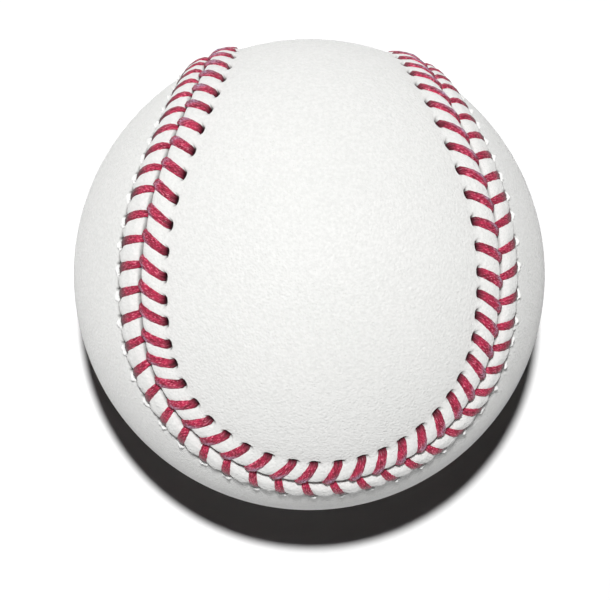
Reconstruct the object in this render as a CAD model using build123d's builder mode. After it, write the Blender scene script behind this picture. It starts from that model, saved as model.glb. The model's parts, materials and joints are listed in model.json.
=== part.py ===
"""A hand-sewn baseball, layer by layer, from its cork core to the red stitches of its cover.

The ball's centre is the origin. The cover is two figure-eight pieces of leather. The front piece has its
wide lobes on +Z and -Z and its narrow neck on +Y. The back piece has its lobes on +X and -X and its neck
on -Y. Sizes are in millimetres.
"""

import os
from math import atan2, cos, degrees, pi, radians, sin

from build123d import *

# Core: a cork composition ball in two rubber jackets, each moulded in two halves
core_diameter = 20.6
inner_shell_wall = 3.9
gasket_thickness = 0.8
outer_shell_wall = 2.4

# Windings: three layers of wool yarn, one of fine finishing yarn, then a coat of cement
first_wool_depth = 14.4
second_wool_depth = 1.7
third_wool_depth = 2.15
finishing_yarn_depth = 0.45
cement_depth = 0.1
layer_clearance = 0.05

# Cover: the leather, the seam between its two pieces and the raised welt along each edge
leather_thickness = 1.2
seam_neck_width = 32.3
seam_straight_length = 25.5
seam_gap = 0.3
welt_land = 0.2
welt_width = 3.4
welt_height = 0.6

# Stitching: places along the seam are counted from the middle of each pair of stitch legs
stitch_count = 108
stitch_phase_share = 0.8
stitch_spread = 0.9
thread_diameter = 0.9
thread_clearance = 0.06
thread_bend_radius = 0.8
needle_hole_diameter = 1.1
needle_hole_setback = 4.8
needle_hole_along = 1.8
front_tuck_along = -0.65
back_tuck_along = 0.55
leg_crown_shares = (0.22, 0.6)

# One overrun for all cuts, the number of bends that the seam makes and how finely its tilt is found
cut_overrun = 2.0
seam_bends = 4
tilt_tolerance = 1e-9

# Radii of the layers, from the inside out
core_radius = core_diameter / 2
inner_shell_bore = core_radius + layer_clearance
inner_shell_radius = inner_shell_bore + inner_shell_wall
outer_shell_bore = inner_shell_radius + layer_clearance
outer_shell_radius = outer_shell_bore + outer_shell_wall
first_wool_bore = outer_shell_radius + layer_clearance
first_wool_radius = first_wool_bore + first_wool_depth
second_wool_bore = first_wool_radius + layer_clearance
second_wool_radius = second_wool_bore + second_wool_depth
third_wool_bore = second_wool_radius + layer_clearance
third_wool_radius = third_wool_bore + third_wool_depth
finishing_yarn_bore = third_wool_radius + layer_clearance
finishing_yarn_radius = finishing_yarn_bore + finishing_yarn_depth
cement_bore = finishing_yarn_radius + layer_clearance
cement_radius = cement_bore + cement_depth
cover_bore = cement_radius + layer_clearance
cover_radius = cover_bore + leather_thickness

# The welt is the top of a round bead under the leather
bead_radius = (welt_width**2 / 4 + welt_height**2) / (2 * welt_height)
bead_setback = seam_gap / 2 + welt_land + welt_width / 2
thread_radius = thread_diameter / 2
centre = Vector(0, 0, 0)


def seam_quarter(tilt: float) -> tuple[Vector, list[Vector], list[Vector]]:
    """The bend round the lobe on +X with a straight stretch before and after it.

    A straight stretch lies on a great circle of the ball, which passes midway between two lobes at the
    given tilt. The bend touches both straight stretches. The result is the bend's axis, and then the stops
    along the seam and the axis of each stretch between them.
    """
    straight_swing = seam_straight_length / 2 / cover_radius
    enter = Vector(1, 0, 1).normalized()
    leave = Vector(1, 0, -1).normalized()
    pole = Vector(0, cos(tilt), 0) + enter * sin(tilt)
    bend_end = leave * cos(straight_swing) + pole.cross(leave) * sin(straight_swing)
    bend_start = Vector(bend_end.X, bend_end.Y, -bend_end.Z)
    bend_swing = atan2(cos(straight_swing) + sin(straight_swing) * cos(tilt), sin(tilt))
    bend_axis = bend_end * cos(bend_swing) + pole * sin(bend_swing)
    stops = [enter, bend_start, bend_end, leave]
    axes = [enter.cross(bend_start).normalized(), -bend_axis, bend_end.cross(leave).normalized()]
    return bend_axis, stops, axes


def seam_stretches() -> list[tuple[Vector, Vector, float]]:
    """The seam as arcs about axes through the centre: each has an axis, a start direction and an angle."""

    # The tilt is found by halving its range until the bends leave the neck its width
    neck_swing = seam_neck_width / 2 / cover_radius
    low_tilt, high_tilt = pi / 4, 3 * pi / 4
    while high_tilt - low_tilt > tilt_tolerance:
        tilt = (low_tilt + high_tilt) / 2
        bend_axis, stops, axes = seam_quarter(tilt)
        bend_top = atan2(bend_axis.Y, bend_axis.X) + radians(bend_axis.get_angle(stops[1]))
        if pi / 2 - bend_top > neck_swing:
            high_tilt = tilt
        else:
            low_tilt = tilt

    quarter = []
    for axis, start, end in zip(axes, stops, stops[1:]):
        quarter.append((axis, start, radians(axis.cross(start).get_angle(axis.cross(end)))))

    # The next lobe lies a quarter turn on about Y, with its neck on the other side
    stretches = []
    for _ in range(seam_bends):
        stretches += quarter
        quarter = [
            (Vector(-axis.Z, axis.Y, axis.X), Vector(start.Z, -start.Y, -start.X), angle)
            for axis, start, angle in quarter
        ]
    return stretches


def section_plane(axis: Vector, start: Vector) -> Plane:
    """The plane across the seam at the start of a stretch: X points to its left and Y out of the ball."""
    travel = axis.cross(start)
    return Plane(centre, x_dir=start.cross(travel), z_dir=travel)


def over_cover(along: float, height: float) -> tuple[float, float]:
    """A point in a plane through the centre, at a place along the cover and a height over it."""
    swing = along / cover_radius
    return (cover_radius + height) * sin(swing), (cover_radius + height) * cos(swing)


def stitch_planes(stretches: list[tuple[Vector, Vector, float]]) -> list[Plane]:
    """A plane for each stitch: X runs along the seam, Y to its left and Z out of the ball."""
    arcs = [(axis, start, axis.cross(start).length * cover_radius, angle) for axis, start, angle in stretches]
    seam_length = sum(radius * angle for _, _, radius, angle in arcs)
    planes = []
    for index in range(stitch_count):
        turn = (index + stitch_phase_share) / stitch_count
        place = turn * seam_length - stitch_spread * sin(2 * pi * seam_bends * turn)
        for axis, start, radius, angle in arcs:
            if place <= radius * angle:
                break
            place -= radius * angle
        outward = start.rotate(Axis(centre, axis), degrees(place / radius))
        planes.append(Plane(outward * cover_radius, x_dir=axis.cross(outward), z_dir=outward))
    return planes


def layer(name: str, bore: float, radius: float) -> BuildPart:
    """One hollow ball of the windings."""
    with BuildPart() as ball:
        Sphere(radius)
        Sphere(bore, mode=Mode.SUBTRACT)
    ball.part.label = name
    return ball


def upper_half(name: str, bore: float, radius: float, rim: float) -> BuildPart:
    """The upper half of a rubber jacket, whose flat rim lies at a height above the centre."""
    with BuildPart() as half:
        Sphere(radius)
        Sphere(bore, mode=Mode.SUBTRACT)
        split(bisect_by=Plane.XY.offset(rim), keep=Keep.TOP)
    half.part.label = name
    return half


def lower_half(name: str, upper: BuildPart) -> BuildPart:
    """The lower half of a rubber jacket, which is the upper one turned over."""
    with BuildPart() as half:
        mirror(upper.part, about=Plane.XY)
    half.part.label = name
    return half


def punched_cover(name: str, blank: Solid, side: int) -> BuildPart:
    """A cover piece with its needle holes, to the left of the seam for side 1 and to the right for -1."""
    hole_planes = []
    for plane in stitches:
        place = plane.from_local_coords((needle_hole_along, side * needle_hole_setback, 0)).normalized()
        hole_planes.append(Plane(place * (cover_radius + cut_overrun), z_dir=place))
    with BuildPart() as cover:
        add(blank)
        with Locations(*hole_planes):
            Hole(needle_hole_diameter / 2, depth=leather_thickness + 2 * cut_overrun)
    cover.part.label = name
    return cover


def stitch_leg(tuck_along: float, side: int) -> BuildPart:
    """One leg of a stitch, from the seam over the welt and down its needle hole, at a stitch's own plane."""
    tuck = Vector(tuck_along, 0, -cover_radius)
    run = Vector(needle_hole_along - tuck_along, side * needle_hole_setback, 0)
    leg_plane = Plane(tuck, x_dir=run, z_dir=run.cross(Vector(0, 0, 1)))
    seat = thread_radius + thread_clearance
    crown = welt_height + seat
    with BuildPart() as leg:
        with BuildLine(leg_plane) as path:
            FilletPolyline(
                over_cover(0, seat),
                *[over_cover(share * run.length, crown) for share in leg_crown_shares],
                over_cover(run.length, seat),
                over_cover(run.length, thread_clearance - leather_thickness),
                radius=thread_bend_radius,
            )
        with BuildSketch(Plane(path.line @ 0, z_dir=path.line % 0)):
            Circle(thread_radius)
        sweep()
    return leg


# Cork core
with BuildPart() as core:
    Sphere(core_radius)
core.part.label = "cork_core"

# Black rubber jacket, with the gasket that seals its two halves
inner_upper = upper_half("inner_shell_upper", inner_shell_bore, inner_shell_radius, gasket_thickness / 2)
inner_lower = lower_half("inner_shell_lower", inner_upper)

with BuildPart() as gasket:
    with BuildSketch(Plane.XY.offset(-gasket_thickness / 2)):
        Circle(inner_shell_radius)
        Circle(inner_shell_bore, mode=Mode.SUBTRACT)
    extrude(amount=gasket_thickness)
gasket.part.label = "shell_gasket"

# Red rubber jacket
outer_upper = upper_half("outer_shell_upper", outer_shell_bore, outer_shell_radius, 0)
outer_lower = lower_half("outer_shell_lower", outer_upper)

# Windings and cement
windings = [
    layer("first_wool_winding", first_wool_bore, first_wool_radius),
    layer("second_wool_winding", second_wool_bore, second_wool_radius),
    layer("third_wool_winding", third_wool_bore, third_wool_radius),
    layer("finishing_winding", finishing_yarn_bore, finishing_yarn_radius),
    layer("cement_coat", cement_bore, cement_radius),
]

# Cover: a leather ball with a welt on each side of the seam, cut in two along the seam
stretches = seam_stretches()
stitches = stitch_planes(stretches)

with BuildPart() as seam_cut:
    for axis, start, angle in stretches:
        with BuildSketch(section_plane(axis, start)):
            with Locations((0, (cover_bore + cover_radius) / 2)):
                Rectangle(seam_gap, leather_thickness + 2 * cut_overrun)
        revolve(axis=Axis(centre, axis), revolution_arc=degrees(angle))

# The ball's own pole and meridian lie in the front piece, clear of the seam
meridian_turn = (0, 0, 90)
with BuildPart() as leather_ball:
    Sphere(cover_radius, rotation=meridian_turn)
    for axis, start, angle in stretches:
        with BuildSketch(section_plane(axis, start)):
            with Locations(*[over_cover(side * bead_setback, welt_height - bead_radius) for side in (1, -1)]):
                Circle(bead_radius)
        revolve(axis=Axis(centre, axis), revolution_arc=degrees(angle))
    Sphere(cover_bore, rotation=meridian_turn, mode=Mode.SUBTRACT)
    add(seam_cut.part, mode=Mode.SUBTRACT)

back_blank, front_blank = leather_ball.solids().sort_by(Axis.Y)
front_cover = punched_cover("front_cover", front_blank, 1)
back_cover = punched_cover("back_cover", back_blank, -1)

# Stitches: each of the two threads crosses from side to side, so it makes every other leg of a side
front_leg = stitch_leg(front_tuck_along, 1).part.solid()
back_leg = stitch_leg(back_tuck_along, -1).part.solid()
leg_orders = [("first_thread", front_leg, back_leg), ("second_thread", back_leg, front_leg)]
threads = []
for name, even_leg, odd_leg in leg_orders:
    legs = []
    for index, plane in enumerate(stitches):
        leg = odd_leg if index % 2 else even_leg
        legs.append(leg.moved(plane.location))
    threads.append(Compound(label=name, children=legs))

os.makedirs("parts", exist_ok=True)
jackets = [inner_upper, inner_lower, gasket, outer_upper, outer_lower]
pieces = [piece.part for piece in [core, *jackets, *windings, front_cover, back_cover]] + threads
for piece in pieces:
    export_step(piece, f"parts/{piece.label}.step")
print("ball diameter", round(2 * cover_radius, 2), "mm,", len(pieces), "pieces")
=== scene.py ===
# %% [markdown]
# # A hand-sewn baseball
# This lesson dresses a ball whose solids are already modelled and packed. The imported solids come in as a
# fixed frame, and each visible piece is then either kept with a better finish or replaced by a finer mesh in
# the same place. Loading comes first.

import json
from math import atan2, cos, degrees, pi, radians, sin, sqrt

import bmesh
import bpy
import numpy as np
from mathutils import Matrix, Vector


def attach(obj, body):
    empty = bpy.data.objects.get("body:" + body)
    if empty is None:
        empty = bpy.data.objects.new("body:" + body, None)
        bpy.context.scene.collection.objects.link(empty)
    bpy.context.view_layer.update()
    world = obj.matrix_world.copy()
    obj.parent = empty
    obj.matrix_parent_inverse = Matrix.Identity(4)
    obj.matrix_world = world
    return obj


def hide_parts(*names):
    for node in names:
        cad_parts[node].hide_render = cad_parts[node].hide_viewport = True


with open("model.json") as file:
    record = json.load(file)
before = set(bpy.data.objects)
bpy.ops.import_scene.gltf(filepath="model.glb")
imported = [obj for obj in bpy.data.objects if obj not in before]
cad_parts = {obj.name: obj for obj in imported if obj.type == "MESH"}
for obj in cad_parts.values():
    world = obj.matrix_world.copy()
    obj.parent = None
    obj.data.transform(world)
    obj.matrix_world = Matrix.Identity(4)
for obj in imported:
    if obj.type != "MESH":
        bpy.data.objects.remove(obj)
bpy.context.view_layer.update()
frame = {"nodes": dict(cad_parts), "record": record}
scene = bpy.context.scene
scene.view_settings.view_transform = "Standard"
print("packed nodes:", sorted(frame["nodes"]))

# %% [markdown]
# ## Camera
# The ball is looked at nearly from above, from about ten radii away. A long lens keeps the outline round. The
# camera could be aimed with a constraint, but its three axes are known, so they go straight into its matrix. A
# small shift moves the ball up and right in the frame without turning it.

# %% Camera
MM = 0.001
image_width = 610
focal_pixels = 2337
ball_pixels_right = 4.3
ball_pixels_up = 25.5
camera_distance = 369 * MM
view_axis = Vector((-0.0675, -0.1539, 0.9858)).normalized()
image_right = Vector((-0.0167, 0.9881, 0.1531)).cross(view_axis).normalized()
image_up = view_axis.cross(image_right)

lens = bpy.data.cameras.new("camera")
lens.sensor_width = 36
lens.lens = lens.sensor_width * focal_pixels / image_width
lens.shift_x = -ball_pixels_right / image_width
lens.shift_y = -ball_pixels_up / image_width
lens.clip_start, lens.clip_end = 0.01, 20
camera = bpy.data.objects.new("camera", lens)
turn = Matrix((image_right, image_up, view_axis)).transposed().to_4x4()
camera.matrix_world = Matrix.Translation(view_axis * camera_distance) @ turn
scene.collection.objects.link(camera)
scene.camera = camera
print("camera lens", round(lens.lens, 1), "mm")

# %% [markdown]
# ## Seam line
# Two figure-eight pieces of leather meet in one closed seam. On the ball it is four round bends joined by
# straight stretches, and a straight stretch on a ball is part of a great circle. Each part therefore turns about
# an axis through the centre, so a point of the seam needs only an axis, a start and an angle. All sizes in these
# helpers are millimetres, as a ball maker would give them.

# %% One bend of the seam
cover_radius = 37.0
cover_bore = 35.8
seam_neck_width = 32.3
seam_straight_length = 25.5
tilt_tolerance = 1e-9


def seam_quarter(tilt):
    """The bend round the lobe on +X between two straight stretches: its axis, the stops and their axes."""
    straight_swing = seam_straight_length / 2 / cover_radius
    enter = np.array((1, 0, 1)) / sqrt(2)
    leave = np.array((1, 0, -1)) / sqrt(2)
    pole = np.array((0, cos(tilt), 0)) + enter * sin(tilt)
    bend_end = leave * cos(straight_swing) + np.cross(pole, leave) * sin(straight_swing)
    bend_start = bend_end * (1, 1, -1)
    bend_swing = atan2(cos(straight_swing) + sin(straight_swing) * cos(tilt), sin(tilt))
    bend_axis = bend_end * cos(bend_swing) + pole * sin(bend_swing)
    stops = [enter, bend_start, bend_end, leave]
    axes = [np.cross(enter, bend_start), -bend_axis, np.cross(bend_end, leave)]
    return bend_axis, bend_swing, stops, [axis / np.linalg.norm(axis) for axis in axes]


# The tilt of the straight stretches is found by halving, until the neck has its width
low_tilt, high_tilt = pi / 4, 3 * pi / 4
while high_tilt - low_tilt > tilt_tolerance:
    tilt = (low_tilt + high_tilt) / 2
    bend_axis, bend_swing, stops, axes = seam_quarter(tilt)
    neck_swing = pi / 2 - atan2(bend_axis[1], bend_axis[0]) - bend_swing
    if neck_swing > seam_neck_width / 2 / cover_radius:
        high_tilt = tilt
    else:
        low_tilt = tilt
print("straight stretches tilt", round(degrees(tilt), 2), "degrees")

# %% The whole seam
arcs = []
for axis, start, end in zip(axes, stops, stops[1:]):
    across, onward = np.cross(axis, start), np.cross(axis, end)
    arcs.append((axis, start, atan2(np.dot(np.cross(across, onward), axis), np.dot(across, onward))))
# Each later quarter is the one before it, turned a quarter round the Y axis and mirrored
for _ in range(3):
    arcs += [
        (np.array((-axis[2], axis[1], axis[0])), np.array((start[2], -start[1], -start[0])), angle)
        for axis, start, angle in arcs[-3:]
    ]
arc_axes = np.array([axis for axis, _, _ in arcs])
arc_starts = np.array([start for _, start, _ in arcs])
arc_radii = np.linalg.norm(np.cross(arc_axes, arc_starts), axis=1) * cover_radius
arc_lengths = arc_radii * [angle for _, _, angle in arcs]
arc_ends = np.cumsum(arc_lengths)
arc_begins = arc_ends - arc_lengths
seam_length = arc_ends[-1]


def unit(vectors):
    """Each row of an array as a direction."""
    return vectors / np.linalg.norm(vectors, axis=-1, keepdims=True)


def seam_frame(place):
    """The directions out of the ball, along the seam and to its left, for millimetres along the seam."""
    place = np.mod(place, seam_length)
    index = np.minimum(np.searchsorted(arc_ends, place, side="right"), len(arcs) - 1)
    swing = ((place - arc_begins[index]) / arc_radii[index])[:, None]
    axis, start = arc_axes[index], arc_starts[index]
    lift = axis * np.sum(axis * start, axis=1, keepdims=True)
    out = unit(lift + (start - lift) * np.cos(swing) + np.cross(axis, start) * np.sin(swing))
    along = unit(np.cross(axis, out))
    return out, along, np.cross(out, along)


print("seam length", round(seam_length, 2), "mm")

# %% [markdown]
# ## Stitch places
# A hundred and eight pairs of stitch legs cross the seam. They sit a little closer in the bends, because the
# stitcher pulls them round, and hand work drifts by up to a millimetre. The drifts, the leans and the turns of
# the front legs are tables with one entry per stitch, which are easier to adjust than random numbers. Stitches
# outside the tables stay regular. Each stitch gets three directions of its own: out of the ball, along the seam
# and to the left. The front piece lies to the left of the seam and the back piece to the right.

# %% Tables of hand work
first_drift_stitch = -38
drifts = (
    (0, -0.24, -0.48, -0.5, -0.69, -0.79, -0.98, -0.95, -1.0, -0.71, -0.49, -0.26, -0.18, -0.12, 0.07, 0.08)
    + (0.22, 0.44, 0.41, 0.48, 0.44, 0.74, 0.77, 0.75, 0.96, 0.93, 0.71, 0.56, 0.38, 0.37, 0.43, 0.1)
    + (0.03, -0.13, -0.48, -0.35, -0.2, 0.06, 0.46, 0.5, 0.53, 0.66, 0.71, 0.76, 0.78, 0.92, 0.39, 0)
)
leans = (
    (0, 0.45, 0.47, 0.33, 0.2, 0.02, -0.12, -0.22, 0.18, 0.19, 0.55, 0.53, 0.3, -0.21, -0.46, -0.67)
    + (-0.71, -0.64, -0.52, -0.59, -0.42, -0.5, -0.13, -0.38, -0.37, -0.2, -0.2, -0.3, -0.16, -0.17, -0.2, -0.13)
    + (0.05, 0.13, 0.57, 0.12, -0.38, -0.37, -0.45, 0.13, 0.49, 0.8, 0.87, 0.86, 0.98, 0.5, 0.24, 0)
)
first_turned_stitch = -37
front_turns = (0, -0.4, -0.75, -1.2, -1.0, -0.6, -0.45, -0.2, -0.1, -0.3, -0.3, -0.2, 0)
print("stitches with drift and lean:", len(drifts), "with turned front legs:", len(front_turns))

# %% Stitch places
stitch_count = 108
stitch_phase = 0.8
stitch_spread = 0.9
bend_count = 4


def seam_place(share):
    """Millimetres along the seam for a share of the stitches."""
    return share * seam_length - stitch_spread * np.sin(2 * pi * bend_count * share)


def by_stitch(share, values, first=first_drift_stitch):
    """A value from a table with one entry per stitch, for a share of the stitches."""
    number = np.mod(share * stitch_count - stitch_phase + stitch_count / 2, stitch_count) - stitch_count / 2
    return np.interp(number, first + np.arange(len(values)), values)


stitch_shares = (np.arange(stitch_count) + stitch_phase) / stitch_count
stitch_places = seam_place(stitch_shares) + by_stitch(stitch_shares, drifts)
stitch_leans = by_stitch(stitch_shares, leans)
stitch_turns = by_stitch(stitch_shares, front_turns, first_turned_stitch)
stitch_out, stitch_along, stitch_left = seam_frame(stitch_places)
print("stitches:", len(stitch_out), "pitch", round(seam_length / stitch_count, 2), "mm")

# %% [markdown]
# ## How a stitch leg runs
# A leg leaves the seam at a slant, bows over the raised edge and drops through its needle hole. The front legs
# start further back and end on the seam in a point. The back legs come out from under them. Seen from above, a
# leg is a simple bow through three points, so a quadratic curve describes it well enough. Side 1 is the front
# and side -1 the back, here and in the steps that follow.

# %% Leg lines
needle_setback = 4.8
needle_along = 1.8
leg_bows = {
    1: np.array(((-1.2, 0.0), (0.35, 1.6), (needle_along, needle_setback))),
    -1: np.array(((0.35, 0.0), (1.0, 2.2), (needle_along, needle_setback))),
}
leg_overrun = (1.0, 4.8)
leg_shares = np.linspace(0, 1.6, 81)


def leg_line(side, travel):
    """Places along and away from the seam, for shares of a leg's way from the seam to its hole."""
    start, bow, end = leg_bows[side]
    travel = np.asarray(travel, float)[..., None]
    return (1 - travel) ** 2 * start + 2 * travel * (1 - travel) * bow + travel**2 * end


def leg_shift(stitch, side, away):
    """How far a leg lies along from its bow, at a distance from the seam."""
    shift = side * stitch_leans[stitch] * away / needle_setback
    if side > 0:
        shift = shift + stitch_turns[stitch] * (away / needle_setback - 0.5)
    return shift


# Past its hole a leg's line runs straight on, so that every point of the leather has a place beside it
leg_tables = {side: leg_line(side, leg_shares) for side in leg_bows}
past_hole = leg_shares > 1
for table in leg_tables.values():
    table[past_hole] = table[~past_hole][-1] + np.outer(leg_shares[past_hole] - 1, leg_overrun)
leg_reaches = {side: table[~past_hole][-1] - table[0] for side, table in leg_tables.items()}
print("leg reaches", {side: np.round(reach, 2).tolist() for side, reach in leg_reaches.items()})

# %% [markdown]
# ## The leather's relief
# Tight thread pulls the leather down, and between the threads it swells into small pillows. At each needle hole
# it puckers round a slit. On the back piece the slit's outer edge stands up as a torn lip, with a nick beside it
# and a crease outside the pillows. A sculptor would push all this in by hand. Here one function gives what a
# needle hole does to the leather round it, and another adds the pillows, from a point's place between the two
# nearest legs and its distance from the seam. Both also give painted shade for the seam, the slits, the whiskers,
# the nicks and the crease, or how raw a lip is, for the leather's finish.

# %% Relief at a needle hole
slit_setback = {1: 4.7, -1: 4.66}
slit_width = {1: 0.31, -1: 0.32}
slit_shade = {1: 0.5, -1: 0.1}
slit_shade_reach = (-0.5, 0.7)
slit_shade_rise = (0.2, 0.6)
slit_length, slit_depth, slit_bend = 0.8, 0.9, 0.2
whisker_length, whisker_width, whisker_depth, whisker_shade = 1.1, 0.13, 0.15, 0.7
pucker_length, pucker_width, pucker_depth = 1.2, 0.9, 0.16
lip_height = {1: 0.08, -1: 0.82}
lip_length, lip_width, lip_setback, lip_drift = 1.02, 0.16, 0.55, 0.42
lip_raw = (0.36, 0.66)
tear_size, tear_pace, tear_start = 0.14, 5, 2.3
nick_drift, nick_length, nick_depth, nick_shade = 0.8, 0.16, 0.2, 0.9
nick_setback, nick_width = 0.6, 0.55
# How far each stitch runs down the camera's view. A slit's end toward the top of the view keeps its painted shade
# and the lower end gets less, as if lit from above; lips and nicks are placed by it too.
stitch_low = -(stitch_along @ np.array(image_up))


def rise(value, low, high):
    """A smooth step from 0 at low to 1 at high."""
    step = np.clip((value - low) / (high - low), 0, 1)
    return step * step * (3 - 2 * step)


def needle_hole(stitch, side, along, away):
    """Height, painted shade of the slit, whisker and nick, and raw edge at points along and away from a stitch.
    """
    low = stitch_low[stitch]
    slit_along = along - needle_along - leg_shift(stitch, side, needle_setback)
    slit_away = away - slit_setback[side] + slit_bend * slit_along**2
    slit = np.exp(-((slit_along / slit_length) ** 4) - (slit_away / slit_width[side]) ** 2)
    whisker = np.exp(-((slit_along / whisker_length) ** 6) - (slit_away / whisker_width) ** 2)
    pucker = np.exp(-((slit_along / pucker_length) ** 2) - (slit_away / pucker_width) ** 2)
    lip_along = slit_along - lip_drift * low
    torn = 1 - tear_size + tear_size * np.sin(tear_pace * lip_along + tear_start * stitch)
    lip = np.exp(-(np.abs(lip_along / lip_length) ** 3) - ((slit_away - lip_setback) / lip_width) ** 2)
    lip = torn * lip
    nick_along = slit_along + nick_drift * np.sign(low)
    nick = np.exp(-((nick_along / nick_length) ** 2) - ((slit_away - nick_setback) / nick_width) ** 4)
    nick = nick * (side < 0)
    height = lip_height[side] * lip - slit_depth * slit - pucker_depth * pucker
    height = height - whisker_depth * whisker - nick_depth * nick
    # The slit's painted shade is weaker at its lower end in the camera's view, and the whisker and nick add
    # painted shade.
    lit = 1 - slit_shade[side] * rise(slit_along * low, *slit_shade_reach)
    shade = lit * (rise(slit, *slit_shade_rise) + whisker_shade * whisker) + nick_shade * nick
    return height, shade, lip_height[side] * rise(lip, *lip_raw)


print("slits", slit_depth, "mm deep, lips up to", lip_height[-1], "mm high")

# %% Relief of the leather
pillow_height = 1.0
pillow_foot = 0.38
pillow_round = 0.6
pillow_start = (-0.2, 1.5)
front_slope = (2.2, 5.3)
back_slope = (-2.3, 0.1)
back_slope_round = 0.7
crease_setback, crease_scallop, crease_width, crease_depth = 4.6, 0.5, 0.24, 0.3
seam_dip, seam_dip_reach = 0.7, (0.0, 0.5)
seam_shadow_start = 0.12
seam_shadow_end = {1: 0.38, -1: 0.48}
deepest = -1.0
least_raw = 0.05
far_from_legs = 9.0


def leather_relief(direction, share, side):
    """Height over the cover and painted crease shade, below zero a raw lip, for directions near the seam on one
    side of it.
    """
    first = np.floor(share * stitch_count - stitch_phase).astype(int)
    before, after = np.full((2, len(share)), far_from_legs)
    hole_height, hole_shade, raw_edge, setback = np.zeros((4, len(share)))
    for step in range(-2, 4):
        stitch = (first + step) % stitch_count
        local = direction / np.sum(direction * stitch_out[stitch], axis=1, keepdims=True) * cover_radius
        along = np.sum(local * stitch_along[stitch], axis=1)
        away = np.sum(local * stitch_left[stitch], axis=1) * side
        bow = np.interp(away, leg_tables[side][:, 1], leg_tables[side][:, 0])
        past = along - bow - leg_shift(stitch, side, away)
        before = np.where((past >= 0) & (past < before), past, before)
        after = np.where((past < 0) & (-past < after), -past, after)
        setback = np.where(step == 0, away, setback)
        height, shade, raw = needle_hole(stitch, side, along, away)
        hole_height, hole_shade, raw_edge = hole_height + height, hole_shade + shade, raw_edge + raw
    between = np.clip(before / (before + after), 0, 1)
    swell = np.sin(pi * between) ** pillow_round
    pillow = pillow_foot + (1 - pillow_foot) * swell
    crest = rise(setback, *pillow_start)
    if side > 0:
        crest = crest * (1 - rise(setback, *front_slope))
        crease = np.zeros(len(share))
    else:
        edge = setback - crease_setback - crease_scallop * np.sin(pi * between)
        crest = crest * (1 - rise(edge, *back_slope)) ** back_slope_round
        crease = np.exp(-((edge / crease_width) ** 2)) * swell
    height = pillow_height * crest * pillow + hole_height - crease_depth * crease
    height -= seam_dip * (1 - rise(setback, *seam_dip_reach))
    # Painted shade: the needle holes, the crease outside the back pillows and a dark band along the seam.
    shade = hole_shade + crease + 1 - rise(setback, seam_shadow_start, seam_shadow_end[side])
    return np.maximum(height, deepest), np.where(raw_edge > least_raw, -raw_edge, np.clip(shade, 0, 1))


print("pillows", pillow_height, "mm high, crease", crease_setback, "mm from the seam")

# %% [markdown]
# ## Cover pieces
# Each cover piece is a closed shell of leather. Near the seam it needs a fine mesh for the pillows, while the
# middle is plain. It starts as three flat grids, as if unrolled along the seam: a fine strip for the sewn edge,
# a coarse crown for the middle and a coarse lining for the underside. Wrapping them round the ball, merging
# where they close and bridging their loops makes one shell. A cut sphere would be simpler, but its faces would
# not follow the seam.

# %% Where the grids of a cover piece lie
strip_columns = stitch_count * 20
crown_columns = stitch_count * 5
strip_setbacks = np.array(
    (0.15, 0.22, 0.32, 0.45, 0.6, 0.8, 1.0, 1.25, 1.5, 1.8, 2.1, 2.4, 2.7, 3.0, 3.3, 3.6, 3.85, 4.1, 4.3, 4.48)
    + (4.64, 4.8, 4.94, 5.08, 5.2, 5.32, 5.44, 5.58, 5.76, 6.0, 6.4, 7.0, 8.0)
)
crown_setback = 9.0
crown_shares = np.linspace(0, 1, 10)
lining_shares = np.concatenate(((-1,), np.linspace(0, 1, 9)))
lobe_reach = pi - atan2(bend_axis[0], bend_axis[1])
drift_fade = (5.5, 8.0)
seam_scallop, scallop_lead, scallop_reach = 0.3, 0.15, 1.3


def wrapped(share, setback, side):
    """Directions at a distance from the seam, on its left for side 1 and on its right for -1."""
    drift = by_stitch(share, drifts) * (1 - rise(setback, *drift_fade))
    out, _, left = seam_frame(seam_place(share) + drift)
    scallop = np.sin(pi * np.mod(share * stitch_count - stitch_phase + scallop_lead, 1))
    wave = side * seam_scallop * scallop * np.exp(-((setback / scallop_reach) ** 2))
    swing = ((setback - wave) / cover_radius)[:, None]
    return out * np.cos(swing) + side * left * np.sin(swing)


def middle_line(direction, side):
    """The nearest direction on the line through the middle of a cover piece."""
    across = direction[:, 2] if side > 0 else direction[:, 0]
    swing = np.arctan2(across, side * direction[:, 1])
    swing = np.clip(swing, -lobe_reach, lobe_reach)
    lobe_part, neck_part, flat_part = np.sin(swing), side * np.cos(swing), np.zeros(len(swing))
    if side > 0:
        return np.stack((flat_part, neck_part, lobe_part), axis=1)
    return np.stack((lobe_part, neck_part, flat_part), axis=1)


def toward_middle(share, setback, inward, side):
    """Directions from a line along the seam to the middle of the piece."""
    edge = wrapped(share, np.full(len(share), setback), side)
    return unit(edge * (1 - inward)[:, None] + middle_line(edge, side) * inward[:, None])


print("strip rows", len(strip_setbacks), "columns", strip_columns, "lobe reach", round(degrees(lobe_reach), 1))


# %% Grids, loops and finished pieces
def flat_grid(bm, columns, rows):
    """A flat grid's vertices, each with its share of the seam and its row."""
    verts = bmesh.ops.create_grid(bm, x_segments=columns, y_segments=rows - 1, size=0.5)["verts"]
    share = np.array([vert.co.x for vert in verts]) + 0.5
    row = np.rint((np.array([vert.co.y for vert in verts]) + 0.5) * (rows - 1)).astype(int)
    return verts, share, row


def row_loop(bm, row_layer, row):
    """The open edges of one row."""
    open_edges = [edge for edge in bm.edges if edge.is_boundary]
    return [edge for edge in open_edges if all(vert[row_layer] == row for vert in edge.verts)]


def finished_piece(name, bm, smooth=True):
    """A bmesh as an object at the origin."""
    mesh = bpy.data.meshes.new(name)
    for face in bm.faces:
        face.smooth = smooth
    bm.to_mesh(mesh)
    bm.free()
    piece = bpy.data.objects.new(name, mesh)
    scene.collection.objects.link(piece)
    return piece


print("mesh helpers:", flat_grid.__name__, row_loop.__name__, finished_piece.__name__)

# %% Wrap and close the cover pieces
strip_row, crown_row, lining_row = 0, 100, 200
merge_distance = 0.0005


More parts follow.
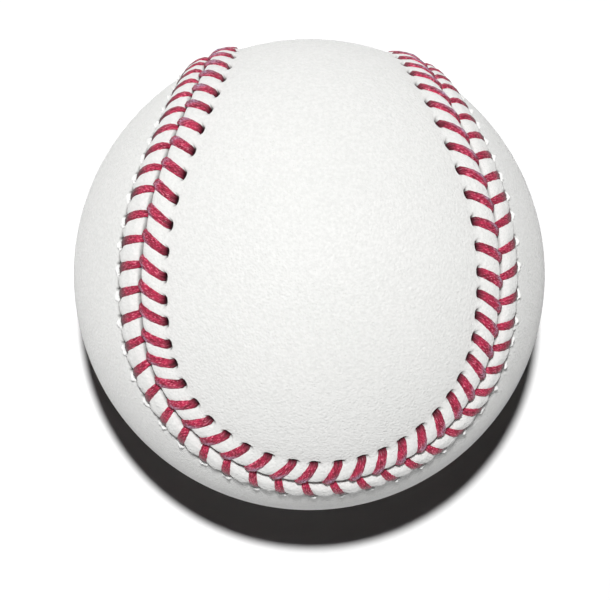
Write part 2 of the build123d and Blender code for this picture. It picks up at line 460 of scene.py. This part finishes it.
def cover_shell(name, side):
    """One cover piece as a closed mesh, with its painted crease shade and raw lips in an attribute."""
    bm = bmesh.new()
    row_layer = bm.verts.layers.int.new("row")
    shade_layer = bm.verts.layers.float.new("crease")
    strip, share, row = flat_grid(bm, strip_columns, len(strip_setbacks))
    direction = wrapped(share, strip_setbacks[row], side)
    height, shade = leather_relief(direction, share, side)
    layers = [(strip, direction * (cover_radius + height)[:, None], strip_row + row, shade)]
    crown, share, row = flat_grid(bm, crown_columns, len(crown_shares))
    placed = toward_middle(share, crown_setback, crown_shares[row], side) * cover_radius
    layers.append((crown, placed, crown_row + row, np.zeros(len(row))))
    lining, share, row = flat_grid(bm, crown_columns, len(lining_shares))
    direction = np.where(
        (row == 0)[:, None],
        wrapped(share, np.full(len(row), strip_setbacks[0]), side),
        toward_middle(share, crown_setback, np.maximum(lining_shares[row], 0), side),
    )
    # The lining's edge row gets full painted shade, so the walls of the seam gap look dark.
    layers.append((lining, direction * cover_bore, lining_row + row, np.where(row == 0, 1.0, 0.0)))
    for verts, places, rows, shades in layers:
        for vert, place, number, dark in zip(verts, places.tolist(), rows.tolist(), shades.tolist()):
            vert.co = place
            vert[row_layer] = number
            vert[shade_layer] = dark
    bmesh.ops.remove_doubles(bm, verts=bm.verts, dist=merge_distance)
    last_strip = strip_row + len(strip_setbacks) - 1
    for one_row, other_row in ((last_strip, crown_row), (strip_row, lining_row)):
        loops = row_loop(bm, row_layer, one_row) + row_loop(bm, row_layer, other_row)
        bmesh.ops.bridge_loops(bm, edges=loops)
    bmesh.ops.recalc_face_normals(bm, faces=bm.faces)
    bmesh.ops.scale(bm, vec=(MM, MM, MM), verts=bm.verts)
    open_edges = sum(not edge.is_manifold for edge in bm.edges)
    return finished_piece(name, bm), open_edges


covers = []
for name, side in (("front_cover", 1), ("back_cover", -1)):
    cover, open_edges = cover_shell(name + "_leather", side)
    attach(cover, "root")
    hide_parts(name)
    covers.append(cover)
    print(cover.name, "faces", len(cover.data.polygons), "open edges", open_edges)

# %% [markdown]
# ## Stitch legs
# Waxed red thread sews the cover. A leg is two twisted strands pressed flat, so it is wider than it is thick, and
# it has ridges along its back. One leg is modelled flat: a ring of ten points, extruded step by step. Copies of
# it are then bowed over the ball, half of them to the front and half to the back. Curves with a bevel could do
# this too, but they would have a round section and many more faces.

# %% One flat leg
leg_travel = np.array((0.0, 0.07, 0.2, 0.42, 0.66, 0.84, 0.92, 0.96))
leg_back = [(-1, 0), (-0.8, 0.6), (-0.4, 0.72), (0, 1), (0.4, 0.72), (0.8, 0.6), (1, 0)]
leg_belly = [(0.6, -0.7), (0, -0.9), (-0.6, -0.7)]
leg_section = leg_back + leg_belly

bm = bmesh.new()
ring = bmesh.ops.create_circle(bm, segments=len(leg_section), radius=1, cap_ends=True)["verts"]
for vert, (across, high) in zip(ring, leg_section):
    vert.co = (across, 0, high)
edges = list({edge for vert in ring for edge in vert.link_edges})
for travel in leg_travel[1:]:
    grown = bmesh.ops.extrude_edge_only(bm, edges=edges)["geom"]
    edges = [item for item in grown if isinstance(item, bmesh.types.BMEdge)]
    edges = [edge for edge in edges if edge.is_boundary]
    for vert in {vert for edge in edges for vert in edge.verts}:
        vert.co.y = travel
bmesh.ops.contextual_create(bm, geom=edges)
bmesh.ops.recalc_face_normals(bm, faces=bm.faces)
flat_leg = bpy.data.meshes.new("flat_leg")
bm.to_mesh(flat_leg)
bm.free()
leg_places = np.array([vert.co for vert in flat_leg.vertices])
print("one leg: faces", len(flat_leg.polygons), "vertices", len(leg_places))

# %% Bow a leg over the ball
leg_widths = {
    1: np.array((0.1, 0.37, 0.68, 0.83, 0.81, 0.75, 0.71, 0.64)),
    -1: np.array((0.48, 0.54, 0.62, 0.71, 0.77, 0.79, 0.77, 0.69)),
}
leg_heights = {
    1: np.array((-0.2, 0.3, 0.68, 0.84, 0.68, 0.34, 0.14, -0.8)),
    -1: np.array((-0.3, 0.24, 0.62, 0.76, 0.6, 0.3, 0.12, -0.8)),
}
leg_depths = {
    1: np.array((0.08, 0.26, 0.4, 0.44, 0.42, 0.38, 0.34, 0.3)),
    -1: np.array((0.28, 0.34, 0.38, 0.4, 0.4, 0.38, 0.34, 0.3)),
}
heading_step = 0.01
squared_end = (0.5, 0.92)


def bowed_leg(stitch, side):
    """A flat leg's points on the ball, at one stitch."""
    across, travel, thick = leg_places.T
    middle = leg_line(side, travel)
    heading = unit(leg_line(side, travel + heading_step) - leg_line(side, travel - heading_step))
    heading[:, 0] *= 1 - rise(travel, *squared_end)
    heading = unit(heading)
    middle[:, 0] += leg_shift(stitch, side, middle[:, 1])
    width = np.interp(travel, leg_travel, leg_widths[side]) * across
    height = np.interp(travel, leg_travel, leg_heights[side])
    height = height + np.interp(travel, leg_travel, leg_depths[side]) * thick
    along = middle[:, 0] + heading[:, 1] * width
    away = (middle[:, 1] - heading[:, 0] * width) * side
    direction = stitch_out[stitch] * cover_radius + np.outer(along, stitch_along[stitch])
    direction = unit(direction + np.outer(away, stitch_left[stitch]))
    return direction * (cover_radius + height)[:, None]


print("legs up to", 2 * leg_widths[1].max(), "mm wide in front and", 2 * leg_widths[-1].max(), "mm at the back")

# %% What a leg's finish needs to know
# Where a leg's colour gets a painted shadow in its hole, a painted sheen, and painted shade at one end.
hole_shadow = {1: 0.89, -1: 0.5}
sheen_start, sheen_end, sheen_round = (0.2, 0.4), (0.54, 0.76), 0.7
end_shade_strength = {1: 0.45, -1: 0.5}
seam_end_shade_reach, hole_end_shade_reach = (0.05, 0.3), (0.38, 0.7)


def leg_marks(side):
    """Values at the points of a leg, by the names of their attributes."""
    across, travel, _ = leg_places.T
    sheen_window = rise(travel, *sheen_start) * (1 - rise(travel, *sheen_end)) * (1 - sheen_round * across**2)
    end_shade = 1 - rise(travel, *seam_end_shade_reach) if side > 0 else rise(travel, *hole_end_shade_reach)
    return {
        "across": across,
        "travel": travel,
        "in_hole": rise(travel, hole_shadow[side], leg_travel[-1]),
        "sheen_place": (side > 0) * sheen_window,
        "end_shade": end_shade_strength[side] * end_shade,
    }


def store_values(piece, label, values):
    """A value for each point of a piece, which its finish reads by name."""
    piece.data.attributes.new(label, "FLOAT", "POINT").data.foreach_set("value", values)


print("values on a leg:", list(leg_marks(1)))

# %% Sew the threads
leg_number_step = 7.3
threads = []
for name, first_side in (("first_thread", 1), ("second_thread", -1)):
    sides = [first_side if stitch % 2 == 0 else -first_side for stitch in range(stitch_count)]
    places = np.concatenate([bowed_leg(stitch, side) for stitch, side in enumerate(sides)]) * MM
    marks = [leg_marks(side) for side in sides]
    bm = bmesh.new()
    for _ in sides:
        bm.from_mesh(flat_leg)
    for vert, place in zip(bm.verts, places):
        vert.co = place
    bmesh.ops.recalc_face_normals(bm, faces=bm.faces)
    thread = finished_piece(name + "_legs", bm)
    for label in marks[0]:
        store_values(thread, label, np.concatenate([mark[label] for mark in marks]))
    store_values(thread, "leg", np.repeat(np.arange(stitch_count) * leg_number_step, len(leg_places)))
    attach(thread, "root")
    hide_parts(name)
    threads.append(thread)
    print(thread.name, "faces", len(thread.data.polygons))

# %% [markdown]
# ## Windings
# Under the leather the ball is wound with wool, layer on layer, each turn nearly a great circle in a new
# direction. Winding hundreds of metres of real tube would be far too heavy. A fine ball is raised instead into
# bands of yarn that cover each other in turn, with a smooth bore inside, and two attributes keep each band's own
# directions for the twist of its plies.

# %% A wound ball
bed_height = -0.35
yarn_swell = 0.35
yarn_drop = 0.3
outer_clearance = 0.05
full_relief_layer = 0.5
slanting = (0.3, 0.5, 0.8)


def wound_ball(name, bore, radius, yarn_width, turns, seed):
    """A hollow ball of yarn whose turns cover each other."""
    draw = np.random.default_rng(seed)
    bm = bmesh.new()
    outside = bmesh.ops.create_icosphere(bm, subdivisions=7, radius=1)["verts"]
    direction = np.array([vert.co for vert in outside])
    top = np.full(len(direction), bed_height)
    along, across = np.zeros(len(direction)), np.zeros(len(direction))
    for axis in unit(draw.normal(size=(turns, 3))):
        side = unit(np.cross(axis, slanting))
        lean = np.arcsin(np.clip(direction @ axis, -1, 1)) * radius * 2 / yarn_width
        covers_it = np.abs(lean) < 1
        crown = yarn_swell * np.sqrt(np.clip(1 - lean**2, 0, 1)) - yarn_drop
        top = np.where(covers_it, crown, top)
        angle = np.arctan2(direction @ np.cross(axis, side), direction @ side)
        along = np.where(covers_it, angle * radius / yarn_width, along)
        across = np.where(covers_it, lean, across)
    depth = min(1.0, (radius - bore) / full_relief_layer)
    places = direction * (radius + depth * (top - outer_clearance))[:, None] * MM
    for vert, place in zip(outside, places):
        vert.co = place
    inside = bmesh.ops.create_icosphere(bm, subdivisions=5, radius=bore * MM)["verts"]
    bmesh.ops.reverse_faces(bm, faces=list({face for vert in inside for face in vert.link_faces}))
    piece = finished_piece(name, bm)
    padding = np.zeros(len(inside))
    for label, values in (("yarn_along", along), ("yarn_across", across)):
        store_values(piece, label, np.concatenate((values, padding)))
    return piece


print("yarn stands", yarn_swell, "mm out of its layer")

# %% Windings
# Bore, radius and width of the yarn in millimetres, number of turns, finish
winding_sizes = {
    "first_wool_winding": (16.75, 31.15, 2.4, 60, "grey_wool"),
    "second_wool_winding": (31.2, 32.9, 1.8, 80, "white_wool"),
    "third_wool_winding": (32.95, 35.1, 1.8, 84, "grey_wool"),
    "finishing_winding": (35.15, 35.6, 0.9, 150, "finishing_yarn"),
}
windings = {}
for seed, (name, (bore, radius, yarn_width, turns, slot)) in enumerate(winding_sizes.items()):
    winding = wound_ball(name + "_yarn", bore, radius, yarn_width, turns, seed)
    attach(winding, "root")
    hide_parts(name)
    windings[winding] = slot
    print(winding.name, "faces", len(winding.data.polygons))

# %% [markdown]
# ## Finishes
# Every finish is built from nodes on Object coordinates or on values that the mesh carries, so it stays on the
# piece from any side, except the thread's painted sheen, which also follows Layer Weight. A few small helpers
# add nodes and fill their inputs, which keeps the recipes short.


# %% Node helpers
def feed(tree, socket, value):
    """A link or a plain value into a socket."""
    if hasattr(value, "is_output"):
        tree.links.new(value, socket)
    else:
        socket.default_value = value


def add_node(tree, kind, **values):
    """A node whose inputs are set by name, with spaces written as underscores."""
    node = tree.nodes.new(kind)
    for label, value in values.items():
        feed(tree, node.inputs[label.replace("_", " ")], value)
    return node


def math_node(tree, operation, *values):
    """The result of one sum."""
    node = tree.nodes.new("ShaderNodeMath")
    node.operation = operation
    for socket, value in zip(node.inputs, values):
        feed(tree, socket, value)
    return node.outputs[0]


def mixed_colour(tree, factor, first, second):
    """A blend of two colours."""
    node = tree.nodes.new("ShaderNodeMix")
    node.data_type = "RGBA"
    for socket, value in zip((node.inputs[0], node.inputs[6], node.inputs[7]), (factor, first, second)):
        feed(tree, socket, value)
    return node.outputs[2]


def stretched(tree, value, low, high, top=1.0):
    """A value from low to high as one from 0 to top."""
    return add_node(tree, "ShaderNodeMapRange", Value=value, From_Min=low, From_Max=high, To_Max=top).outputs[0]


print("node helpers:", feed.__name__, add_node.__name__, math_node.__name__, mixed_colour.__name__)


# %% Pattern helpers
def object_place(tree):
    """Object coordinates."""
    return tree.nodes.new("ShaderNodeTexCoord").outputs["Object"]


def attribute(tree, name):
    """A value stored on the mesh."""
    node = tree.nodes.new("ShaderNodeAttribute")
    node.attribute_name = name
    return node.outputs["Fac"]


def noise(tree, place, scale, detail, roughness=0.5):
    """A cloudy pattern from 0 to 1."""
    node = add_node(tree, "ShaderNodeTexNoise", Vector=place, Scale=scale, Detail=detail, Roughness=roughness)
    return node.outputs[0]


def new_finish(name):
    """A material with its node tree and its Principled shader."""
    finish = bpy.data.materials.new(name)
    finish.use_nodes = True
    return finish, finish.node_tree, finish.node_tree.nodes["Principled BSDF"]


def bumped(tree, shader, height, distance, strength):
    """Relief from a height, on a shader's normal."""
    bump = add_node(tree, "ShaderNodeBump", Height=height, Distance=distance, Strength=strength)
    tree.links.new(bump.outputs["Normal"], shader.inputs["Normal"])


print("pattern helpers:", object_place.__name__, attribute.__name__, noise.__name__, bumped.__name__)

# %% [markdown]
# ## Leather finish
# Alum-tanned leather is white with a fine pebble grain and a low sheen. The grain could be sculpted, but at a
# third of a millimetre it is bump. Cells and a fine noise make the grain, small grey specks lie all over it, and
# a slow noise lets its tone drift. Painted shade, stored on the mesh as the crease value, darkens the seam, the
# needle holes and the folds. Below zero the same value marks the torn lips, whose raw leather is paler.

# %% Leather finish
clean_cool, clean_warm = (0.8, 0.805, 0.79, 1), (0.845, 0.84, 0.83, 1)
speck_grey, raw_white, painted_crease_shade = (0.6, 0.605, 0.59, 1), (0.93, 0.93, 0.92, 1), (0.03, 0.02, 0.02, 1)
cell_scale, fine_scale, speck_scale, drift_scale = 2900.0, 2600.0, 1900.0, 70.0
speck_range, speck_strength = (0.36, 0.64), 0.24
fine_in_grain, raw_gain = 0.7, -2.0
smoothest, roughness_change = 0.42, 0.2
grain_depth, grain_strength = 0.00016, 0.85

leather, tree, shader = new_finish("white_leather")
place, crease = object_place(tree), attribute(tree, "crease")
cells = add_node(tree, "ShaderNodeTexVoronoi", Vector=place, Scale=cell_scale, Randomness=1.0)
cells.feature = "SMOOTH_F1"
fine = noise(tree, place, fine_scale, 3.0)
specks = stretched(tree, noise(tree, place, speck_scale, 2.0), *speck_range, speck_strength)
clean = mixed_colour(tree, noise(tree, place, drift_scale, 4.0), clean_cool, clean_warm)
pitted = mixed_colour(tree, specks, clean, speck_grey)
torn = mixed_colour(tree, math_node(tree, "MULTIPLY", crease, raw_gain), pitted, raw_white)
# Above zero the crease value mixes in painted shade: seam, slits, whiskers, nicks and the back crease.
tree.links.new(mixed_colour(tree, crease, torn, painted_crease_shade), shader.inputs["Base Color"])
rough = math_node(tree, "MULTIPLY_ADD", fine, roughness_change, smoothest)
tree.links.new(rough, shader.inputs["Roughness"])
shader.inputs["Specular IOR Level"].default_value = 0.2
shader.inputs["Diffuse Roughness"].default_value = 0.48
pebble = math_node(tree, "MULTIPLY_ADD", fine, fine_in_grain, cells.outputs["Distance"])
bumped(tree, shader, pebble, grain_depth, grain_strength)
for cover in covers:
    cover.data.materials.append(leather)
print("leather on", [cover.name for cover in covers])

# %% [markdown]
# ## Thread finish
# The thread is cotton in red wax. Its twisted plies show as slanting flecks of random tone, darker where the ply
# relief is low, which is partly painted shade, and with painted pale glints where a fibre would catch the light.
# Seen at a slant, the front legs get a painted lavender sheen in their colour, which Layer Weight gives. A front
# leg has painted shade where it leaves the seam and a back leg toward its hole, and both have a painted shadow
# where they drop into the hole. The pattern follows the leg itself, from the values that its points carry.

# %% Pattern of the thread
ply_slant, flecks_across, flecks_along = 1.4, 5.0, 13.0
patch_scale, patch_range = 0.28, (0.36, 0.64)
fleck_range, painted_glint_range, streak_range = (0.36, 0.64), (0.56, 0.7), (0.4, 0.54)
fleck_share, patch_share, painted_glint_strength = 0.6, 0.4, 0.9
sheen_range = (0.3, 0.56)

thread_finish, tree, shader = new_finish("red_thread")
across, travel = attribute(tree, "across"), attribute(tree, "travel")
twisted = math_node(tree, "MULTIPLY_ADD", travel, ply_slant, across)
strand = add_node(
    tree,
    "ShaderNodeCombineXYZ",
    X=math_node(tree, "MULTIPLY", twisted, flecks_across),
    Y=math_node(tree, "MULTIPLY", travel, flecks_along),
    Z=attribute(tree, "leg"),
).outputs[0]
fibre = noise(tree, strand, 1.0, 2.0, 0.6)
# Flecks of ply tone, painted glints and the streaks of the painted sheen all come from one fibre noise.
fleck, painted_glint, streak = (stretched(tree, fibre, *reach) for reach in (fleck_range, painted_glint_range, streak_range))
patch = stretched(tree, noise(tree, strand, patch_scale, 1.0), *patch_range)
tone = math_node(tree, "MULTIPLY_ADD", fleck, fleck_share, math_node(tree, "MULTIPLY", patch, patch_share))
# Layer Weight places a painted sheen in the colour, on the front legs only, where the sheen window allows.
facing = add_node(tree, "ShaderNodeLayerWeight", Blend=0.5).outputs["Facing"]
sheen = math_node(tree, "MULTIPLY", stretched(tree, facing, *sheen_range), attribute(tree, "sheen_place"))
print("thread pattern:", len(tree.nodes), "nodes")

# %% Thread finish
ply_dark_and_groove_shade, ply_red, painted_glint_pink = (0.14, 0.004, 0.018, 1), (0.8, 0.034, 0.12, 1), (0.88, 0.3, 0.4, 1)
painted_sheen_lavender, painted_end_shade, painted_hole_shadow = (0.6, 0.48, 0.7, 1), (0.09, 0.02, 0.035, 1), (0.03, 0.006, 0.01, 1)
ply_depth, ply_strength = 0.0002, 0.9

# Dark to red by the ply tone: a random tone, darker where the ply relief is low, so partly painted shade.
red = mixed_colour(tree, tone, ply_dark_and_groove_shade, ply_red)
# Painted pale glints where fibres would catch the light.
red = mixed_colour(tree, math_node(tree, "MULTIPLY", painted_glint, painted_glint_strength), red, painted_glint_pink)
# A painted lavender sheen on the front legs, stronger where they are seen at a slant.
red = mixed_colour(tree, math_node(tree, "MULTIPLY", sheen, streak), red, painted_sheen_lavender)
# Painted shade at the seam end of the front legs and at the hole end of the back legs.
red = mixed_colour(tree, attribute(tree, "end_shade"), red, painted_end_shade)
# Painted shadow where a leg drops into its hole.
red = mixed_colour(tree, attribute(tree, "in_hole"), red, painted_hole_shadow)
tree.links.new(red, shader.inputs["Base Color"])
shader.inputs["Roughness"].default_value = 0.42
shader.inputs["Specular IOR Level"].default_value = 0.34
bumped(tree, shader, tone, ply_depth, ply_strength)
for thread in threads:
    thread.data.materials.append(thread_finish)
print("thread on", [thread.name for thread in threads])

# %% [markdown]
# ## Yarn finishes
# All four windings share one effect: the slanting plies of twisted yarn with loose fibres. It is a node group,
# built once, that puts out one tone for colour and relief, and each kind of yarn brings its own two colours.

# %% Twist of the yarn
yarn_fibre_scale, yarn_slant, yarn_fuzz = 900.0, 4.0, 3.0

twist = bpy.data.node_groups.new("yarn_twist", "ShaderNodeTree")
twist.interface.new_socket("Plies", in_out="INPUT", socket_type="NodeSocketFloat")
twist.interface.new_socket("Tone", in_out="OUTPUT", socket_type="NodeSocketFloat")
group_in, group_out = twist.nodes.new("NodeGroupInput"), twist.nodes.new("NodeGroupOutput")
slant = math_node(twist, "MULTIPLY", attribute(twist, "yarn_across"), yarn_slant)
turned = math_node(twist, "MULTIPLY_ADD", attribute(twist, "yarn_along"), group_in.outputs["Plies"], slant)
fuzz = noise(twist, object_place(twist), yarn_fibre_scale, 4.0)
turned = math_node(twist, "MULTIPLY_ADD", fuzz, yarn_fuzz, turned)
tone = math_node(twist, "MULTIPLY_ADD", math_node(twist, "SINE", turned), 0.5, 0.5)
twist.links.new(tone, group_out.inputs["Tone"])
print("yarn twist:", len(twist.nodes), "nodes")

# %% Yarn finishes
# Dark colour, pale colour, closeness of the plies
yarn_colours = {
    "grey_wool": ((0.22, 0.215, 0.21, 1), (0.5, 0.49, 0.475, 1), 9.0),
    "white_wool": ((0.6, 0.57, 0.51, 1), (0.87, 0.84, 0.78, 1), 8.0),
    "finishing_yarn": ((0.68, 0.66, 0.62, 1), (0.9, 0.89, 0.85, 1), 7.0),
}
yarn_depth, yarn_strength = 0.0003, 0.8

yarn_finishes = {}
for slot, (dark, pale, plies) in yarn_colours.items():
    finish, tree, shader = new_finish(slot)
    group = tree.nodes.new("ShaderNodeGroup")
    group.node_tree = twist
    group.inputs["Plies"].default_value = plies
    tree.links.new(mixed_colour(tree, group.outputs["Tone"], dark, pale), shader.inputs["Base Color"])
    shader.inputs["Roughness"].default_value = 0.9
    bumped(tree, shader, group.outputs["Tone"], yarn_depth, yarn_strength)
    yarn_finishes[slot] = finish
for winding, slot in windings.items():
    winding.data.materials.append(yarn_finishes[slot])
print("yarn finishes", list(yarn_finishes))

# %% [markdown]
# ## Core finishes
# The cork core, the rubber jackets, the gasket and the film of cement keep their solids, whose shapes are right.
# They only need a finish: pressed cork shows granules, moulded rubber a faint bloom, and dried latex is uneven.

# %% Core finishes
# Scale of the pattern, dark colour, pale colour, roughness, depth of the relief in metres
core_looks = {
    "cork": (650.0, (0.34, 0.2, 0.1, 1), (0.66, 0.48, 0.31, 1), 0.85, 0.0003),
    "black_rubber": (500.0, (0.018, 0.018, 0.018, 1), (0.045, 0.045, 0.047, 1), 0.62, 0.00004),
    "red_rubber": (500.0, (0.4, 0.045, 0.035, 1), (0.54, 0.085, 0.06, 1), 0.58, 0.00004),
    "cement": (260.0, (0.7, 0.6, 0.38, 1), (0.84, 0.77, 0.56, 1), 0.4, 0.00006),
}
granule_gain, core_strength = 0.7, 0.7

core_finishes = {}
for slot, (scale, dark, pale, roughness, depth) in core_looks.items():
    finish, tree, shader = new_finish(slot + "_finish")
    place = object_place(tree)
    cells = add_node(tree, "ShaderNodeTexVoronoi", Vector=place, Scale=scale).outputs["Distance"]
    granules = math_node(tree, "ADD", cells, noise(tree, place, scale * 2, 5.0))
    granules = math_node(tree, "MULTIPLY", granules, granule_gain)
    tree.links.new(mixed_colour(tree, granules, dark, pale), shader.inputs["Base Color"])
    shader.inputs["Roughness"].default_value = roughness
    bumped(tree, shader, granules, depth, core_strength)
    core_finishes[slot] = finish
for part in frame["record"]["subparts"]:
    if part["material_slot"] in core_finishes:
        solid = frame["nodes"][part["node"]]
        solid.data.materials.clear()
        solid.data.materials.append(core_finishes[part["material_slot"]])
print("core finishes", list(core_finishes))

# %% [markdown]
# ## Floor and light
# The ball lies on paper under one small lamp near the camera, which throws a dark round shadow. A second lamp
# beside it lights only the paper, so the paper can be white while the leather stays below white. Soft lamps from
# the left, the top and below stand for the pale room. They are linked to the ball alone, because they would wash
# the shadow out. Away from the ball the paper turns into a plain white backdrop.

# %% Floor
floor_half_width = 3
paper_grey = (0.25, 0.25, 0.25, 1)
backdrop_start, backdrop_full = 0.12, 0.25


def backdrop_rays(tree):
    """1 for the rays that should see the white backdrop: those of the camera, of gloss and of glass."""
    ray = tree.nodes.new("ShaderNodeLightPath")
    seen = math_node(tree, "MAXIMUM", ray.outputs["Is Camera Ray"], ray.outputs["Is Glossy Ray"])
    return math_node(tree, "MAXIMUM", seen, ray.outputs["Is Transmission Ray"])


bm = bmesh.new()
bmesh.ops.create_grid(bm, x_segments=1, y_segments=1, size=floor_half_width)
bmesh.ops.translate(bm, vec=(0, 0, -cover_radius * MM), verts=bm.verts)
floor = finished_piece("floor", bm, smooth=False)
paper, tree, shader = new_finish("paper")
shader.inputs["Base Color"].default_value = paper_grey
shader.inputs["Roughness"].default_value = 0.9
shader.inputs["Specular IOR Level"].default_value = 0.0
reach = tree.nodes.new("ShaderNodeVectorMath")
reach.operation = "LENGTH"
tree.links.new(object_place(tree), reach.inputs[0])
fade = stretched(tree, reach.outputs["Value"], backdrop_start, backdrop_full)
backdrop = add_node(tree, "ShaderNodeEmission", Color=(1, 1, 1, 1), Strength=1.0)
blend = tree.nodes.new("ShaderNodeMixShader")
tree.links.new(math_node(tree, "MULTIPLY", fade, backdrop_rays(tree)), blend.inputs[0])
tree.links.new(shader.outputs[0], blend.inputs[1])
tree.links.new(backdrop.outputs[0], blend.inputs[2])
tree.links.new(blend.outputs[0], tree.nodes["Material Output"].inputs["Surface"])
floor.data.materials.append(paper)
print("floor at", round(-cover_radius * MM, 4), "m")

# %% Lamps
ball_group = bpy.data.collections.new("ball_lit")
floor_group = bpy.data.collections.new("floor_lit")
for piece in [*covers, *threads, *windings, *frame["nodes"].values()]:
    ball_group.objects.link(piece)
floor_group.objects.link(floor)
key_tilt, key_distance = 11.7, 0.54
soft_distance, soft_size = 0.5, 0.4


def lamp_place(tilt, swing, distance):
    """A place at a tilt from the camera's axis, toward a side of the picture counted from its right."""
    aside = image_right * cos(radians(swing)) + image_up * sin(radians(swing))
    return (view_axis * cos(radians(tilt)) + aside * sin(radians(tilt))) * distance


def add_lamp(name, place, watts, size, receivers):
    """A round soft lamp that looks at the ball and lights one group."""
    lamp = bpy.data.lights.new(name, "AREA")
    lamp.shape = "DISK"
    lamp.energy, lamp.size = watts, size
    holder = bpy.data.objects.new(name, lamp)
    holder.location = place
    holder.rotation_euler = place.to_track_quat("Z", "Y").to_euler()
    scene.collection.objects.link(holder)
    holder.light_linking.receiver_collection = receivers


for name, swing, watts, size, receivers in (
    ("key_on_ball", 96, 2.8, 0.06, ball_group),
    ("key_on_floor", 90, 14.0, 0.024, floor_group),
):
    add_lamp(name, lamp_place(key_tilt, swing, key_distance), watts, size, receivers)
for name, tilt, swing, watts in (
    ("soft_left", 85, 180, 0.18),
    ("soft_top", 85, 90, 0.28),
    ("soft_low", 60, 270, 0.32),
):
    add_lamp(name, lamp_place(tilt, swing, soft_distance), watts, soft_size, ball_group)
print("lamps", [lamp.name for lamp in bpy.data.lights])

# %% Room
room_light = 0.02

world = bpy.data.worlds.new("room")
scene.world = world
world.use_nodes = True
tree = world.node_tree
background = tree.nodes["Background"]
strength = math_node(tree, "MULTIPLY_ADD", backdrop_rays(tree), 1 - room_light, room_light)
tree.links.new(strength, background.inputs["Strength"])
background.inputs["Color"].default_value = (1, 1, 1, 1)
print("room light", room_light)
